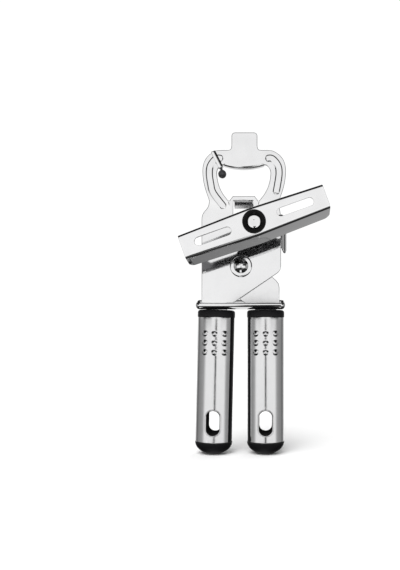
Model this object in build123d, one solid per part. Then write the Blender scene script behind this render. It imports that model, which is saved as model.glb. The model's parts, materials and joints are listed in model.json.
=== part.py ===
"""Manual can opener with a butterfly crank, a bottle-opener loop and two sleeved handles.

Millimetres, +Z up along the handles, -Y towards the user's side (the crank side).
The pieces are laid out round the pivot rivet at (0, 0) and moved at the end, so that the
origin is at the bottom centre of the whole opener.
"""
import os
from math import cos, pi, radians, sin

from build123d import *

# --- plates -------------------------------------------------------------------------------
PLATE_T = 1.5            # sheet thickness of both plates
PLATE_GAP = 0.1          # running gap between the two plates
PLATE_LEFT = -25.8       # left edge of the front plate
PLATE_RIGHT = 26.2       # right edge of the front plate
REAR_RIGHT = 25.2        # right edge of the rear plate
SHOULDER_Z = -24.2       # where the plates narrow to their tangs
TANG_W = 14.2            # width of each tang
TANG_END_Z = -62.0       # how far the tangs reach into the handles
BODY_TOP_Z = 30.0        # top of the straight-sided part of the front plate
DIAGONAL_IN_X = 5.1      # how far the slanted lower edge passes the middle

# --- bottle-opener loop -------------------------------------------------------------------
LOOP_X = 2.1             # middle of the loop
LOOP_HALF_W = 27.3
LOOP_BOTTOM_Z = 42.8     # lowest point of the opening
LOOP_TOP_Z = 75.9        # shoulders beside the pry tab
OPENING_HALF_W = 17.5
FULCRUM_Z = 63.9         # lowest point of the edge that lifts a crown cap
FULCRUM_DEPTH = 4.0      # depth of the lip turned back along that edge
TAB_W = 16.9
TAB_TOP_Z = 87.4
TAB_R = 2.3
BEAD_W = 4.8             # pressed stiffening ribs
BEAD_H = 0.45

# --- rim guide window and side lug --------------------------------------------------------
WINDOW_X0 = -5.1
WINDOW_X1 = 8.0
WINDOW_Z0 = 33.2
WINDOW_Z1 = 42.4
GUIDE_DEPTH = 8.5        # tongue bent back from the top of the window
GUIDE_DROP = 2.4
LUG_OUT = 4.0            # how far the side lug leans out
LUG_DEPTH = 5.5
LUG_TOP_Z = 34.0
LUG_BASE_Z = 13.0
LUG_TIP_Z = 8.7

# --- pivot --------------------------------------------------------------------------------
PIVOT_R = 3.0
PIVOT_WASHER_R = 7.3
PIVOT_WASHER_T = 1.0
PIVOT_HEAD_R = 4.8
PIVOT_HEAD_H = 2.4
RUN_CLEAR = 0.05         # radial running clearance of every turning fit

# --- crank and wheels ---------------------------------------------------------------------
AXIS_X = 9.35            # spindle at +AXIS_X, cutter at -AXIS_X
AXIS_Z = 21.3
SPINDLE_R = 3.2
BUSH_R = 4.5
BUSH_FLANGE_R = 6.2
BUSH_FLANGE_T = 2.5
KEY_FACE_Y = -32.0       # front face of the butterfly key
KEY_L = 90.4
KEY_END_W = 14.05        # the face is widest round the spindle and tapers to both ends
KEY_MID_W = 16.75
KEY_BEND_R = 1.5
KEY_T = 1.2
KEY_FLANGE = 13.0
KEY_SPLAY = 13.0         # degrees, flanges open away from the face
KEY_ANGLE = 19.6         # degrees, how the key is parked
KEY_SLOT_IN = 14.3
KEY_SLOT_OUT = 37.1
KEY_SLOT_W = 5.0
BOSS_R = 7.0
BOSS_PROUD = 0.9
BOSS_SINK = 0.9          # how far the spindle head's seat lies behind the key's face
HEAD_R = 3.9
HEAD_T = 1.1
SPACER_R = 5.2
GEAR_TEETH = 13
GEAR_T = 2.2
GEAR_FRONT_Y = 2.0
FEED_R = 9.5
FEED_TEETH = 26
FEED_T = 2.8
CUTTER_R = 10.0
CUTTER_T = 1.2
WHEEL_GAP = 0.4          # axial gap between feed wheel and cutter
NUT_AF = 8.0
NUT_T = 2.8

# --- handles ------------------------------------------------------------------------------
HANDLE_X = 16.1          # handle axes at the collars
HANDLE_TILT = 1.24       # degrees, left handle leans outwards
HANDLE_HALF_W = 12.05
HANDLE_HALF_D = 8.5
SLEEVE_T = 0.6
COLLAR_TOP_Z = -28.8
COLLAR_H = 4.7
COLLAR_PROUD = 0.15
SLEEVE_L = 81.1
STRIP_W = 2.4            # bare plastic strip on the inner side
CAP_H = 8.0
CAP_CURVE_H = 8.4        # height the cap's dome would have without its foot
SLOT_W = 9.2             # hanging slot
SLOT_L = 16.4
SLOT_Z = -101.6
SLOT_WALL = 0.4
BUMP_R = 1.8
BUMP_H = 0.6
BUMP_PITCH_X = 0.523 * HANDLE_HALF_W
BUMP_PITCH_Z = 6.0
BUMP_TOP_Z = -44.4
PLUG_W = 12.0            # spigot that holds the end cap
PLUG_D = 7.0
PLUG_L = 5.0

# --- stop ring ----------------------------------------------------------------------------
RING_CLEAR = 2.55        # between the plates' edges and the ring's ends
RING_HALF_D = 4.5
RING_T = 1.25
RING_H = 4.4
RING_R = 3.0
RING_RISE = 3.7          # middle of the ring above the collars
RING_TILT = 20.0         # degrees, the loose ring hangs with its front side low

# --- lid magnet ---------------------------------------------------------------------------
CLIP_X = LOOP_X - 0.648 * LOOP_HALF_W    # middle of the strap over the loop's left shoulder
CLIP_Z = 69.5
CLIP_ANGLE = 63.6        # degrees, slope of the strap
CLIP_W = 3.0
CLIP_T = 0.5
CLIP_L = 12.6
MAGNET_R = 2.7
MAGNET_DX = 3.3
MAGNET_DZ = -9.2

FRONT_Y = -PLATE_T
REAR_Y = PLATE_GAP
REAR_BACK_Y = REAR_Y + PLATE_T
GEAR_BACK_Y = GEAR_FRONT_Y + GEAR_T
FEED_BACK_Y = GEAR_BACK_Y + FEED_T
CUTTER_Y = FEED_BACK_Y + WHEEL_GAP
SLEEVE_TOP_Z = COLLAR_TOP_Z - COLLAR_H
SLEEVE_END_Z = SLEEVE_TOP_Z - SLEEVE_L
FOOT_Z = SLEEVE_END_Z - CAP_H


def slab(sketch, y0, y1):
    """Sheet between two depths, from a sketch drawn in X and Z."""
    return Pos(0, y1, 0) * extrude(Plane.XZ * sketch, amount=y1 - y0)


def disc(x, z, radius, y0, y1):
    return slab(Pos(x, z) * Circle(radius), y0, y1)


def ring(x, z, outer, inner, y0, y1):
    return disc(x, z, outer, y0, y1) - disc(x, z, inner, y0, y1)


def box_between(x0, x1, y0, y1, z0, z1):
    return Pos((x0 + x1) / 2, (y0 + y1) / 2, (z0 + z1) / 2) * Box(x1 - x0, y1 - y0, z1 - z0)


def face_of(edges):
    return make_face(Wire(edges))


# --- plates -------------------------------------------------------------------------------
def loop_side(side):
    """Outer curve of one side of the loop, from the shoulder down to the waist."""
    height = LOOP_TOP_Z - LOOP_BOTTOM_Z
    shape = [(0.55, 1.0), (0.77, 0.95), (0.95, 0.79), (1.0, 0.56), (0.955, 0.29), (0.842, 0.0)]
    return [(LOOP_X + side * LOOP_HALF_W * u, LOOP_BOTTOM_Z + height * v) for u, v in shape]


def front_outline():
    left = loop_side(-1)
    right = loop_side(1)
    tang_x0 = -HANDLE_X - TANG_W / 2
    tang_x1 = -HANDLE_X + TANG_W / 2
    slope_top = (PLATE_RIGHT, -3.0)
    slope_end = (-DIAGONAL_IN_X, SHOULDER_Z)
    edges = [
        Spline(*left, tangents=[(-1, 0), (0, -1)]),
        Bezier(left[-1], (left[-1][0], BODY_TOP_Z + 5.5), (PLATE_LEFT, BODY_TOP_Z + 7.5), (PLATE_LEFT, BODY_TOP_Z)),
        Line((PLATE_LEFT, BODY_TOP_Z), (PLATE_LEFT, SHOULDER_Z)),
        Line((PLATE_LEFT, SHOULDER_Z), (tang_x0, SHOULDER_Z)),
        Line((tang_x0, SHOULDER_Z), (tang_x0, TANG_END_Z)),
        Line((tang_x0, TANG_END_Z), (tang_x1, TANG_END_Z)),
        Line((tang_x1, TANG_END_Z), (tang_x1, SHOULDER_Z)),
        Line((tang_x1, SHOULDER_Z), slope_end),
        Line(slope_end, slope_top),
        Line(slope_top, (PLATE_RIGHT, BODY_TOP_Z)),
        Bezier((PLATE_RIGHT, BODY_TOP_Z), (PLATE_RIGHT, BODY_TOP_Z + 6), (right[-1][0], BODY_TOP_Z + 5.5), right[-1]),
        Spline(*reversed(right), tangents=[(0, 1), (-1, 0)]),
        Line(right[0], left[0]),
    ]
    body = face_of(edges)
    corner = body.vertices().sort_by_distance(slope_top)[0]
    return fillet(corner, 6.0)


def pry_tab():
    blade = Pos(LOOP_X + 0.15, TAB_TOP_Z - 9) * Rectangle(TAB_W, 18)
    blade = fillet(blade.vertices().group_by(Axis.Y)[-1], TAB_R)
    root_w = TAB_W + 4.4
    root = face_of(Polyline(
        (LOOP_X - root_w / 2, LOOP_TOP_Z - 0.5), (LOOP_X - root_w / 2, LOOP_TOP_Z),
        (LOOP_X - TAB_W / 2, LOOP_TOP_Z + 2.4), (LOOP_X + TAB_W / 2 + 0.3, LOOP_TOP_Z + 2.4),
        (LOOP_X + root_w / 2, LOOP_TOP_Z), (LOOP_X + root_w / 2, LOOP_TOP_Z - 0.5), close=True).edges())
    return blade + root


def opening_outline():
    cx = LOOP_X - 0.3
    width = OPENING_HALF_W
    corner_z = FULCRUM_Z + 2.2
    drop = corner_z - LOOP_BOTTOM_Z
    shape = [(0.77, 1.0), (0.95, 0.91), (1.0, 0.75), (0.91, 0.40), (0.74, 0.155), (0.54, 0.0)]

    def side(sign):
        return [(cx + sign * width * u, LOOP_BOTTOM_Z + drop * v) for u, v in shape]

    left = side(-1)
    right = side(1)
    step = [(cx + 0.41 * width, LOOP_BOTTOM_Z + 2.9), (cx - 0.41 * width, LOOP_BOTTOM_Z + 2.9)]
    return face_of([
        ThreePointArc(left[0], (cx, FULCRUM_Z), right[0]),
        Spline(*right, tangents=[(1, 0.2), (-1, -1)]),
        Line(right[-1], step[0]),
        Line(step[0], step[1]),
        Line(step[1], left[-1]),
        Spline(*reversed(left), tangents=[(-1, 1), (1, -0.2)]),
    ])


def fulcrum_lip():
    """Edge of the opening turned back, so that it bears on a crown cap."""
    cx = LOOP_X - 0.3
    half = 0.77 * OPENING_HALF_W
    low = ThreePointArc((cx - half, FULCRUM_Z + 2.2), (cx, FULCRUM_Z), (cx + half, FULCRUM_Z + 2.2))
    high = ThreePointArc((cx - half, FULCRUM_Z + 3.7), (cx, FULCRUM_Z + PLATE_T), (cx + half, FULCRUM_Z + 3.7))
    band = face_of([low, Line(low @ 1, high @ 1), high, Line(high @ 0, low @ 0)])
    return slab(band, FRONT_Y, FRONT_Y + FULCRUM_DEPTH)


def bead(side, tail):
    """Pressed rib that follows one leg of the loop; tail is its lower end."""
    height = LOOP_TOP_Z - LOOP_BOTTOM_Z
    shape = [(0.50, 0.82), (0.66, 0.83), (0.80, 0.70), (0.835, 0.54), (0.80, 0.32)]
    points = [(LOOP_X + side * LOOP_HALF_W * u, LOOP_BOTTOM_Z + height * v) for u, v in shape]
    path = Spline(*points, *tail)
    foot = trace(path, line_width=BEAD_W)
    rib = slab(foot, FRONT_Y - BEAD_H, FRONT_Y)
    return rib.fillet(0.35, rib.edges().group_by(Axis.Y)[0])


def rim_guide():
    """Tongue bent back from the top of the window, with its end turned down."""
    x0 = WINDOW_X0 + 0.25
    x1 = WINDOW_X1 - 0.25
    tongue = box_between(x0, x1, FRONT_Y, GUIDE_DEPTH, WINDOW_Z1, WINDOW_Z1 + 1.0)
    end = box_between(x0, x1, GUIDE_DEPTH - 1.0, GUIDE_DEPTH, WINDOW_Z1 - GUIDE_DROP, WINDOW_Z1 + 1.0)
    return tongue + end


def side_lug():
    """Ear bent back from the right edge, with a pointed lower end."""
    x0 = PLATE_RIGHT - 1.2
    section = face_of(Polyline(
        (x0, FRONT_Y), (PLATE_RIGHT, FRONT_Y), (PLATE_RIGHT + LUG_OUT, FRONT_Y + LUG_DEPTH),
        (PLATE_RIGHT + LUG_OUT - 1.5, FRONT_Y + LUG_DEPTH), (x0, 0), close=True).edges())
    ear = Pos(0, 0, LUG_TIP_Z) * extrude(section, amount=LUG_TOP_Z - LUG_TIP_Z)
    far_x = PLATE_RIGHT + LUG_OUT + 0.5
    side_view = face_of(Polyline(
        (x0 - 1, LUG_TOP_Z), (far_x, LUG_TOP_Z - 3), (far_x, LUG_BASE_Z - 0.6),
        (far_x - 1.4, LUG_TIP_Z), (PLATE_RIGHT, LUG_BASE_Z), (x0 - 1, LUG_BASE_Z), close=True).edges())
    return ear & slab(side_view, FRONT_Y - 1, FRONT_Y + LUG_DEPTH + 1)


def make_front_plate():
    sheet = slab(front_outline() + pry_tab() - opening_outline(), FRONT_Y, 0)
    sheet += fulcrum_lip()
    sheet += bead(-1, [(-18.0, 47.5), (-10.8, 38.2)])
    sheet += bead(1, [(22.6, 46.5)])
    sheet -= box_between(WINDOW_X0, WINDOW_X1, FRONT_Y - 1, 1, WINDOW_Z0, WINDOW_Z1)
    sheet += rim_guide()
    sheet += side_lug()
    sheet -= disc(0, 0, PIVOT_R, FRONT_Y - 1, 1)
    sheet -= disc(AXIS_X, AXIS_Z, BUSH_R, FRONT_Y - 1, 1)
    return sheet


def make_rear_plate():
    tang_x0 = HANDLE_X - TANG_W / 2
    tang_x1 = HANDLE_X + TANG_W / 2
    slope_in = (DIAGONAL_IN_X - 2.4, SHOULDER_Z)
    lower = face_of(Polyline(
        (tang_x0, SHOULDER_Z), (tang_x0, TANG_END_Z), (tang_x1, TANG_END_Z), (tang_x1, SHOULDER_Z),
        (REAR_RIGHT, SHOULDER_Z), (REAR_RIGHT, -11.5), (18.5, -5.0), (0, 15.0), (-12, 8.0),
        (-17.5, -9.5), slope_in, close=True).edges())
    lower = fillet(lower.vertices().sort_by_distance((REAR_RIGHT, -11.5))[0], 4.0)
    lobe = Pos(-AXIS_X, AXIS_Z) * Circle(9.0)
    waist = make_hull(lobe.edges() + Circle(15.0).edges())
    sheet = slab(lower + waist, REAR_Y, REAR_BACK_Y)
    sheet -= disc(0, 0, PIVOT_R + RUN_CLEAR, REAR_Y - 1, REAR_BACK_Y + 1)
    sheet -= disc(-AXIS_X, AXIS_Z, SPINDLE_R, REAR_Y - 1, REAR_BACK_Y + 1)
    return sheet


# --- pivot --------------------------------------------------------------------------------
def dome(x, z, radius, height, y_base):
    """Spherical rivet head that bulges towards -Y."""
    ball_r = (radius ** 2 + height ** 2) / (2 * height)
    ball = Pos(x, y_base + ball_r - height, z) * Sphere(ball_r)
    return ball & box_between(x - 20, x + 20, y_base - 20, y_base, z - 20, z + 20)


def make_pivot():
    front = FRONT_Y - PIVOT_WASHER_T
    back = REAR_BACK_Y + PLATE_GAP
    washer = ring(0, 0, PIVOT_WASHER_R, PIVOT_R, front, FRONT_Y)
    washer = washer.fillet(0.3, washer.edges().filter_by(GeomType.CIRCLE).group_by(Axis.Y)[0].sort_by(
        SortBy.RADIUS)[-1:])
    back_washer = ring(0, 0, 6.0, PIVOT_R, back, back + 0.8)
    rivet = disc(0, 0, PIVOT_R, front, back + 0.8)
    rivet += dome(0, 0, PIVOT_HEAD_R, PIVOT_HEAD_H, front)
    tail = disc(0, 0, 4.4, back + 0.8, back + 2.2)
    rivet += chamfer(tail.edges().filter_by(GeomType.CIRCLE).group_by(Axis.Y)[-1], 0.7)
    return rivet, washer, back_washer


# --- crank --------------------------------------------------------------------------------
def make_bush():
    flange_y = FRONT_Y - BUSH_FLANGE_T
    body = disc(AXIS_X, AXIS_Z, BUSH_FLANGE_R, flange_y, FRONT_Y)
    body = chamfer(body.edges().filter_by(GeomType.CIRCLE).group_by(Axis.Y)[0], 0.5)
    body += disc(AXIS_X, AXIS_Z, BUSH_R, FRONT_Y, GEAR_FRONT_Y - 0.1)
    return body - disc(AXIS_X, AXIS_Z, SPINDLE_R + RUN_CLEAR, flange_y - 1, GEAR_FRONT_Y + 1)


def at_key(part):
    """Moves a part made at the origin onto the spindle, turned to the parked angle."""
    return Pos(AXIS_X, 0, AXIS_Z) * Rot(0, -KEY_ANGLE, 0) * part


def key_section(x, width):
    """Cross-section of the key at x: face, two bends and two splayed flanges."""
    half = width / 2
    lean = KEY_FLANGE * sin(radians(KEY_SPLAY))
    back_y = KEY_FACE_Y + KEY_FLANGE * cos(radians(KEY_SPLAY))
    inner = half - KEY_T
    outline = Polyline(
        (KEY_FACE_Y, -half), (KEY_FACE_Y, half),
        (back_y, half + lean), (back_y, half + lean - KEY_T * 1.05),
        (KEY_FACE_Y + KEY_T, inner), (KEY_FACE_Y + KEY_T, -inner),
        (back_y, -half - lean + KEY_T * 1.05), (back_y, -half - lean), close=True)
    face = make_face(outline)
    return Plane.YZ.offset(x) * fillet(face.vertices().group_by(Axis.X)[0], KEY_BEND_R)


def make_key():
    """U-shaped butterfly key: slotted face and two splayed flanges."""
    channel = loft([key_section(-KEY_L / 2, KEY_END_W), key_section(0, KEY_MID_W),
                    key_section(KEY_L / 2, KEY_END_W)], ruled=True)
    back_y = KEY_FACE_Y + KEY_FLANGE * cos(radians(KEY_SPLAY))
    tip = 3.6
    plan = Polyline(
        (-KEY_L / 2, KEY_FACE_Y), (KEY_L / 2, KEY_FACE_Y),
        (KEY_L / 2, back_y - tip), (KEY_L / 2 - tip, back_y),
        (-KEY_L / 2 + tip, back_y), (-KEY_L / 2, back_y - tip), close=True)
    channel &= Pos(0, 0, -KEY_MID_W) * extrude(make_face(plan), amount=2 * KEY_MID_W)
    slot_l = KEY_SLOT_OUT - KEY_SLOT_IN
    slot_x = (KEY_SLOT_OUT + KEY_SLOT_IN) / 2
    slot = SlotOverall(slot_l, KEY_SLOT_W)
    for x in (-slot_x, slot_x):
        channel -= slab(Pos(x, 0) * slot, KEY_FACE_Y - 1, KEY_FACE_Y + KEY_T + 1)
    channel -= disc(0, 0, SPACER_R, KEY_FACE_Y - 1, KEY_FACE_Y + KEY_T + 1)
    return at_key(channel)


def make_key_boss():
    """Black dished ring that closes the hole in the key round the spindle head."""
    back_y = KEY_FACE_Y + KEY_T + 1.6
    seat_y = KEY_FACE_Y + BOSS_SINK
    front_y = KEY_FACE_Y - BOSS_PROUD
    rim = Polyline(
        (SPINDLE_R, back_y), (SPINDLE_R, seat_y), (HEAD_R + 0.1, seat_y), (SPACER_R - 0.4, KEY_FACE_Y - 0.1),
        (BOSS_R - 0.3, front_y), (BOSS_R, front_y + 0.2), (BOSS_R, KEY_FACE_Y), (SPACER_R, KEY_FACE_Y),
        (SPACER_R, back_y), close=True)
    turned = revolve(make_face(rim), Axis.Y, 360)
    return Pos(AXIS_X, 0, AXIS_Z) * turned


def make_spindle():
    seat_y = KEY_FACE_Y + BOSS_SINK
    nut_y = FEED_BACK_Y
    shaft = disc(AXIS_X, AXIS_Z, SPINDLE_R, seat_y, nut_y)
    head = disc(AXIS_X, AXIS_Z, HEAD_R, seat_y - HEAD_T, seat_y)
    head = fillet(head.edges().filter_by(GeomType.CIRCLE).group_by(Axis.Y)[0], 0.35)
    thread = disc(AXIS_X, AXIS_Z, 2.4, nut_y, nut_y + NUT_T + 0.9)
    thread = chamfer(thread.edges().filter_by(GeomType.CIRCLE).group_by(Axis.Y)[-1], 0.4)
    dimple = Pos(AXIS_X, seat_y - HEAD_T - 0.9, AXIS_Z) * Sphere(1.3)
    return shaft + head + thread - dimple


def make_spacer():
    """Tube that holds the key away from the plates."""
    y0 = KEY_FACE_Y + KEY_T + 1.6
    y1 = FRONT_Y - BUSH_FLANGE_T - 1.1
    tube = ring(AXIS_X, AXIS_Z, SPACER_R, SPINDLE_R, y0, y1)
    waist = ring(AXIS_X, AXIS_Z, SPACER_R + 1, SPACER_R - 0.7, y0 + 6, y1 - 6)
    return tube - waist


def gear_outline(x, z):
    """Spur gear with a tooth that points to -X; two of them mesh at equal and opposite turns."""
    root_r = AXIS_X - 1.35
    tip_r = AXIS_X + 1.10
    root_half = 1.42 / root_r
    tip_half = 0.52 / tip_r
    points = []
    for i in range(GEAR_TEETH):
        middle = pi + 2 * pi * i / GEAR_TEETH
        for radius, offset in ((root_r, -root_half), (tip_r, -tip_half), (tip_r, tip_half), (root_r, root_half)):
            points.append((x + radius * cos(middle + offset), z + radius * sin(middle + offset)))
    return face_of(Polyline(*points, close=True).edges())


def make_drive_gear():
    teeth = slab(gear_outline(AXIS_X, AXIS_Z), GEAR_FRONT_Y, GEAR_BACK_Y)
    return teeth - disc(AXIS_X, AXIS_Z, SPINDLE_R, GEAR_FRONT_Y - 1, GEAR_BACK_Y + 1)


def make_feed_wheel():
    points = []
    for i in range(2 * FEED_TEETH):
        radius = FEED_R if i % 2 == 0 else FEED_R - 0.8
        angle = pi * i / FEED_TEETH
        points.append((AXIS_X + radius * cos(angle), AXIS_Z + radius * sin(angle)))
    wheel = slab(face_of(Polyline(*points, close=True).edges()), GEAR_BACK_Y, FEED_BACK_Y)
    wheel -= disc(AXIS_X, AXIS_Z, SPINDLE_R, GEAR_BACK_Y - 1, FEED_BACK_Y + 1)
    return wheel - ring(AXIS_X, AXIS_Z, 7.2, 5.4, FEED_BACK_Y - 0.6, FEED_BACK_Y + 1)


def make_nut():
    hexagon = Pos(AXIS_X, AXIS_Z) * RegularPolygon(NUT_AF / 2, 6, major_radius=False)
    nut = slab(hexagon, FEED_BACK_Y, FEED_BACK_Y + NUT_T)
    return nut - disc(AXIS_X, AXIS_Z, 2.4, FEED_BACK_Y - 1, FEED_BACK_Y + NUT_T + 1)


# --- cutter -------------------------------------------------------------------------------
def make_cutter_gear():
    """Gear with the long hub that carries the cutter."""
    teeth = slab(gear_outline(-AXIS_X, AXIS_Z), GEAR_FRONT_Y, GEAR_BACK_Y)
    hub = disc(-AXIS_X, AXIS_Z, 4.8, GEAR_BACK_Y, CUTTER_Y)
    return teeth + hub - disc(-AXIS_X, AXIS_Z, SPINDLE_R + RUN_CLEAR, GEAR_FRONT_Y - 1, CUTTER_Y + 1)


def make_cutter_wheel():
    """Bevelled cutting disc; its sharp edge is on the feed wheel's side."""
    profile = Polyline(
        (SPINDLE_R + RUN_CLEAR, CUTTER_Y), (CUTTER_R, CUTTER_Y), (CUTTER_R, CUTTER_Y + 0.08),
        (CUTTER_R - 1.6, CUTTER_Y + CUTTER_T), (SPINDLE_R + RUN_CLEAR, CUTTER_Y + CUTTER_T), close=True)
    turned = revolve(make_face(profile), Axis.Y, 360)
    return Pos(-AXIS_X, 0, AXIS_Z) * turned


def make_cutter_stud():
    washer_back = CUTTER_Y + CUTTER_T + 0.9
    stud = disc(-AXIS_X, AXIS_Z, SPINDLE_R, REAR_Y, washer_back)
    head = disc(-AXIS_X, AXIS_Z, 4.7, washer_back, washer_back + 1.4)
    return stud + fillet(head.edges().filter_by(GeomType.CIRCLE).group_by(Axis.Y)[-1], 0.6)


def make_cutter_washer():
    y0 = CUTTER_Y + CUTTER_T + 0.1
    return ring(-AXIS_X, AXIS_Z, 5.6, SPINDLE_R, y0, y0 + 0.8)


# --- handles ------------------------------------------------------------------------------
def section(grow=0.0):
    return Ellipse(HANDLE_HALF_W + grow, HANDLE_HALF_D + grow)


def column(sketch, z_top, z_bottom):
    return Pos(0, 0, z_bottom) * extrude(sketch, amount=z_top - z_bottom)


def hanging_slot(width, length):
    return Pos(0, 0, SLOT_Z) * slab(Rot(0, 0, 90) * SlotOverall(length, width), -20, 20)


def inner_strip(inward):
    """Space of the bare strip on the side that faces the other handle."""
    x0 = HANDLE_HALF_W - STRIP_W
    x1 = HANDLE_HALF_W + 5
    return box_between(min(inward * x0, inward * x1), max(inward * x0, inward * x1), -20, 20, -200, 0)


def make_sleeve(inward):
    """Pressed steel skin, open along the inner side, with a grid of grip bumps front and back."""
    inside = column(section(-SLEEVE_T), SLEEVE_TOP_Z + 1, SLEEVE_END_Z - 1)
    skin = column(section(), SLEEVE_TOP_Z, SLEEVE_END_Z) - inside
    skin -= inner_strip(inward)
    ball_r = (BUMP_R ** 2 + BUMP_H ** 2) / (2 * BUMP_H)
    for row in range(3):
        for col in (-1, 0, 1):
            x = col * BUMP_PITCH_X
            z = BUMP_TOP_Z - row * BUMP_PITCH_Z
            y = HANDLE_HALF_D * (1 - (x / HANDLE_HALF_W) ** 2) ** 0.5
            nx = x / HANDLE_HALF_W ** 2
            ny = y / HANDLE_HALF_D ** 2
            sink = (ball_r - BUMP_H) / (nx ** 2 + ny ** 2) ** 0.5
            for face in (-1, 1):
                ball = Pos(x - nx * sink, face * (y - ny * sink), z) * Sphere(ball_r)
                skin += ball - inside
    return skin - hanging_slot(SLOT_W, SLOT_L)


def make_core(inward):
    """Plastic body: collar above, strip on the inner side, filling below the skin."""
    collar = column(section(COLLAR_PROUD), COLLAR_TOP_Z, SLEEVE_TOP_Z)
    collar = fillet(collar.edges().group_by(Axis.Z)[-1], 1.6)
    filling = column(section(-SLEEVE_T), SLEEVE_TOP_Z, SLEEVE_END_Z)
    strip = column(section(), SLEEVE_TOP_Z, SLEEVE_END_Z) & inner_strip(inward)
    plug_hole = box_between(-PLUG_W / 2, PLUG_W / 2, -PLUG_D / 2, PLUG_D / 2, SLEEVE_END_Z, SLEEVE_END_Z + PLUG_L)
    return collar + filling + strip - plug_hole - hanging_slot(SLOT_W - 2 * SLOT_WALL, SLOT_L - 2 * SLOT_WALL)


def make_cap():
    a = HANDLE_HALF_W + COLLAR_PROUD
    b = HANDLE_HALF_D + COLLAR_PROUD
    bowl = scale(Sphere(1), by=(a, b, CAP_CURVE_H))
    bowl = Pos(0, 0, SLEEVE_END_Z) * (bowl & box_between(-20, 20, -20, 20, -20, 0))
    return bowl + box_between(-PLUG_W / 2, PLUG_W / 2, -PLUG_D / 2, PLUG_D / 2, SLEEVE_END_Z, SLEEVE_END_Z + PLUG_L)


def place_handle(piece, side):
    """Left (-1) handles lean outwards about their collars, right (+1) ones hang straight."""
    if side > 0:
        return Pos(HANDLE_X, 0, 0) * piece
    lean = Pos(0, 0, COLLAR_TOP_Z) * Rot(0, HANDLE_TILT, 0) * Pos(0, 0, -COLLAR_TOP_Z)
    return Pos(-HANDLE_X, 0, 0) * lean * piece


def make_handle(side, plate):
    ground = box_between(-60, 60, -30, 30, FOOT_Z - 20, FOOT_Z)
    core = place_handle(make_core(-side), side) - plate
    sleeve = place_handle(make_sleeve(-side), side)
    cap = place_handle(make_cap(), side) - ground
    return core, sleeve, cap


# --- stop ring and magnet -----------------------------------------------------------------
def make_stop_ring():
    """Loose band round both tangs; it limits how far the handles open."""
    x0 = PLATE_LEFT - RING_CLEAR - RING_T
    x1 = REAR_RIGHT + RING_CLEAR + RING_T
    outer = RectangleRounded(x1 - x0, 2 * RING_HALF_D, RING_R)
    inner = RectangleRounded(x1 - x0 - 2 * RING_T, 2 * (RING_HALF_D - RING_T), RING_R - RING_T)
    band = Pos(0, 0, -RING_H / 2) * extrude(outer - inner, amount=RING_H)
    for end in (0, -1):
        band = fillet(band.faces().sort_by(Axis.Z)[end].outer_wire().edges(), RING_T * 0.85)
    return Pos((x0 + x1) / 2, 0, COLLAR_TOP_Z + RING_RISE) * Rot(RING_TILT, 0, 0) * band


def make_magnet_clip(plate):
    """Strap clamped across the loop's shoulder, its ends fitted to the plate's edges."""
    front = FRONT_Y - BEAD_H
    strap = box_between(-CLIP_L / 2, CLIP_L / 2, front - CLIP_T, CLIP_T, -CLIP_W / 2, CLIP_W / 2)
    strap = fillet(strap.edges().filter_by(Axis.Z), CLIP_T * 0.9)
    strap -= box_between(CLIP_T - CLIP_L / 2, CLIP_L / 2 - CLIP_T, front, 0, -CLIP_W, CLIP_W)
    return Pos(CLIP_X, 0, CLIP_Z) * Rot(0, CLIP_ANGLE, 0) * strap - plate


def make_lid_magnet(clip, plate):
    """Ball magnet on a short neck at the strap's inner end."""
    x = CLIP_X + MAGNET_DX
    z = CLIP_Z + MAGNET_DZ
    middle_y = -PLATE_T / 2
    ball = Pos(x, middle_y, z) * Sphere(MAGNET_R)
    neck = Pos(x, middle_y, z) * Rot(0, -10, 0) * Pos(0, 0, 1.8) * Cylinder(0.8, 3.6)
    return ball + neck - clip - plate


# --- assembly -----------------------------------------------------------------------------
def build():
    front_plate = make_front_plate()
    rear_plate = make_rear_plate()
    rivet, washer, back_washer = make_pivot()
    left_core, left_sleeve, left_cap = make_handle(-1, front_plate)
    right_core, right_sleeve, right_cap = make_handle(1, rear_plate)
    washer_y = FRONT_Y - BUSH_FLANGE_T - 1.1
    clip = make_magnet_clip(front_plate)
    return {
        "front_plate": front_plate,
        "rear_plate": rear_plate,
        "pivot_rivet": rivet,
        "pivot_washer": washer,
        "pivot_back_washer": back_washer,
        "left_grip_core": left_core,
        "left_sleeve": left_sleeve,
        "left_end_cap": left_cap,
        "right_grip_core": right_core,
        "right_sleeve": right_sleeve,
        "right_end_cap": right_cap,
        "stop_ring": make_stop_ring(),
        "spindle_bush": make_bush(),
        "crank_spindle": make_spindle(),
        "crank_washer": ring(AXIS_X, AXIS_Z, 5.8, SPINDLE_R, washer_y, washer_y + 1.0),
        "crank_spacer": make_spacer(),
        "crank_key": make_key(),
        "key_boss": make_key_boss(),
        "drive_gear": make_drive_gear(),
        "feed_wheel": make_feed_wheel(),
        "spindle_nut": make_nut(),
        "cutter_gear": make_cutter_gear(),
        "cutter_wheel": make_cutter_wheel(),
        "cutter_stud": make_cutter_stud(),
        "cutter_washer": make_cutter_washer(),
        "magnet_clip": clip,
        "lid_magnet": make_lid_magnet(clip, front_plate),
    }


def main():
    nodes = build()
    box = Compound(children=[Compound(part.wrapped) for part in nodes.values()]).bounding_box()
    home = Pos(-(box.min.X + box.max.X) / 2, -(box.min.Y + box.max.Y) / 2, -box.min.Z)
    os.makedirs("parts", exist_ok=True)
    for name, part in nodes.items():
        export_step(home * part, f"parts/{name}.step")


main()
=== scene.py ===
import json
from math import atan2, cos, hypot, pi, radians, sin

import bmesh
import bpy
from mathutils import Matrix, Vector


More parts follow.
